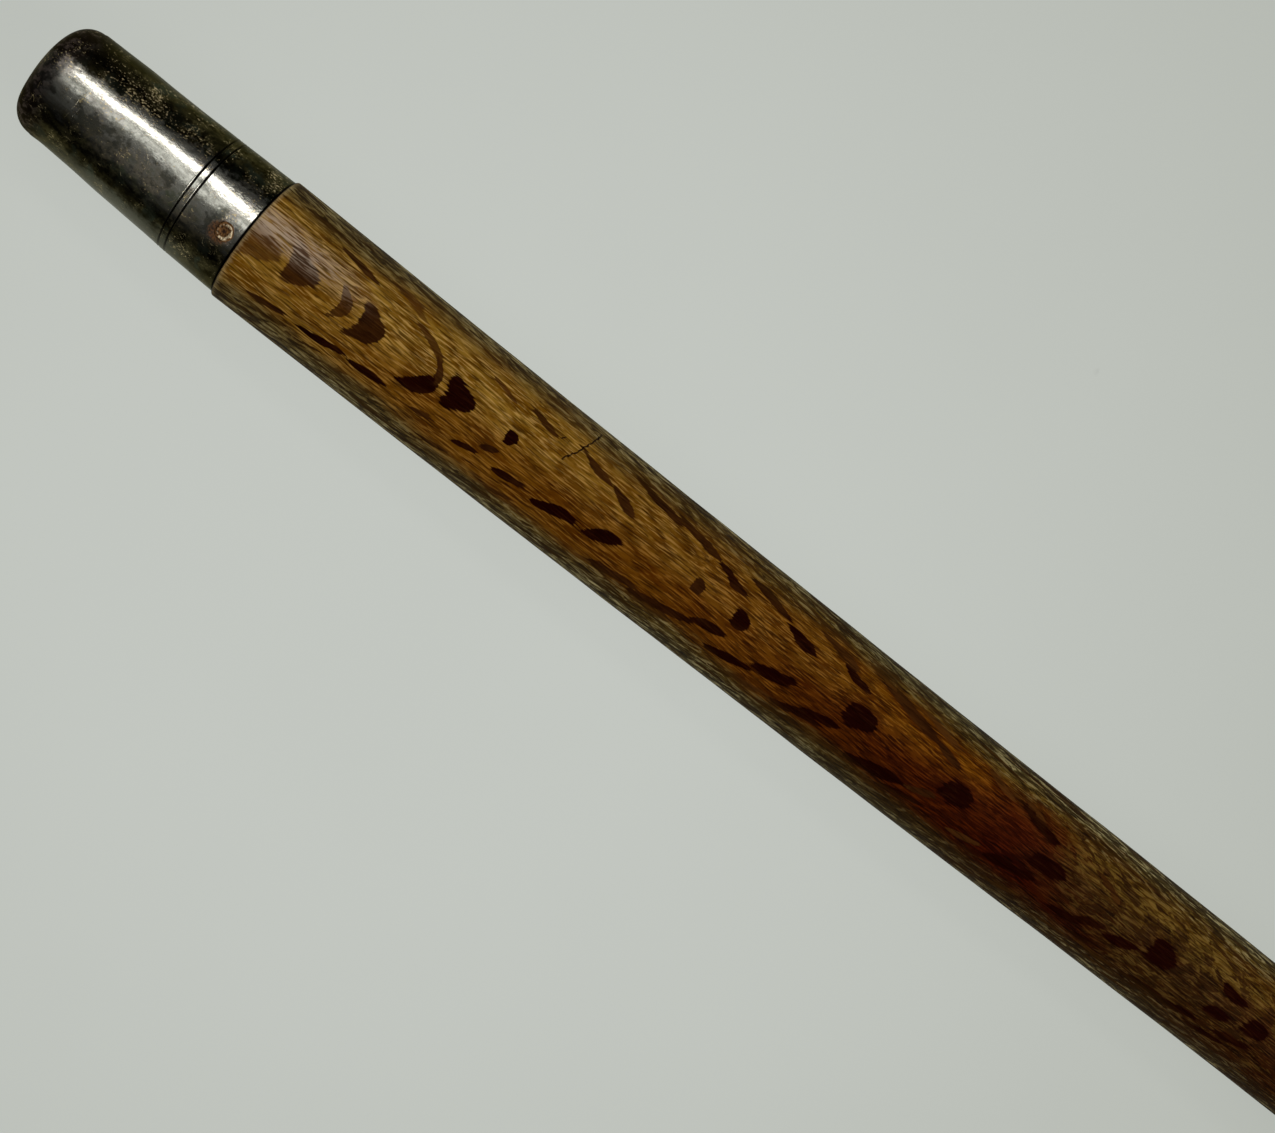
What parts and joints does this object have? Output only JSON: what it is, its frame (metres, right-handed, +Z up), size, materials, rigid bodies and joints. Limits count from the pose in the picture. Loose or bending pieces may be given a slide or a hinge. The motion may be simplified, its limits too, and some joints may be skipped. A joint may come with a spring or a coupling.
{
  "type": "dip pen holder",
  "caption": "Dip pen holder turned from figured dark wood, with a pinned metal butt cap, a metal ferrule and a spring clutch that grips a slit steel nib.",
  "frame": {"origin": "on the surface the pen lies on, below the middle of its length", "axes": "+X along the pen's axis from the butt cap towards the nib, +Z up, away from the surface it lies on; the nib's crest faces +Z"},
  "size_m": [0.194, 0.01, 0.0099],
  "materials": {
    "shaft_wood": "worn oil and wax polish on dark-figured snakewood",
    "aged_nickel_silver": "tarnished and scratched, nickel silver or plated metal",
    "rusty_iron": "rusted",
    "tinned_steel": "dull tin plate",
    "spring_steel": "dark tempered",
    "nib_steel": "polished, blued by tempering"
  },
  "bodies": {
    "holder": {"wood_shaft": "shaft_wood", "butt_cap": "aged_nickel_silver", "butt_cap_pin": "rusty_iron", "nib_ferrule": "aged_nickel_silver", "nib_ferrule_pin": "rusty_iron", "nib_socket_cup": "tinned_steel", "nib_clutch": "spring_steel"},
    "nib": {"nib": "nib_steel"}
  },
  "joints": [
    {"name": "nib_pull", "type": "slide", "parent": "holder", "child": "nib", "axis": [1, 0, 0], "range_m": [0, 0.02]}
  ]
}
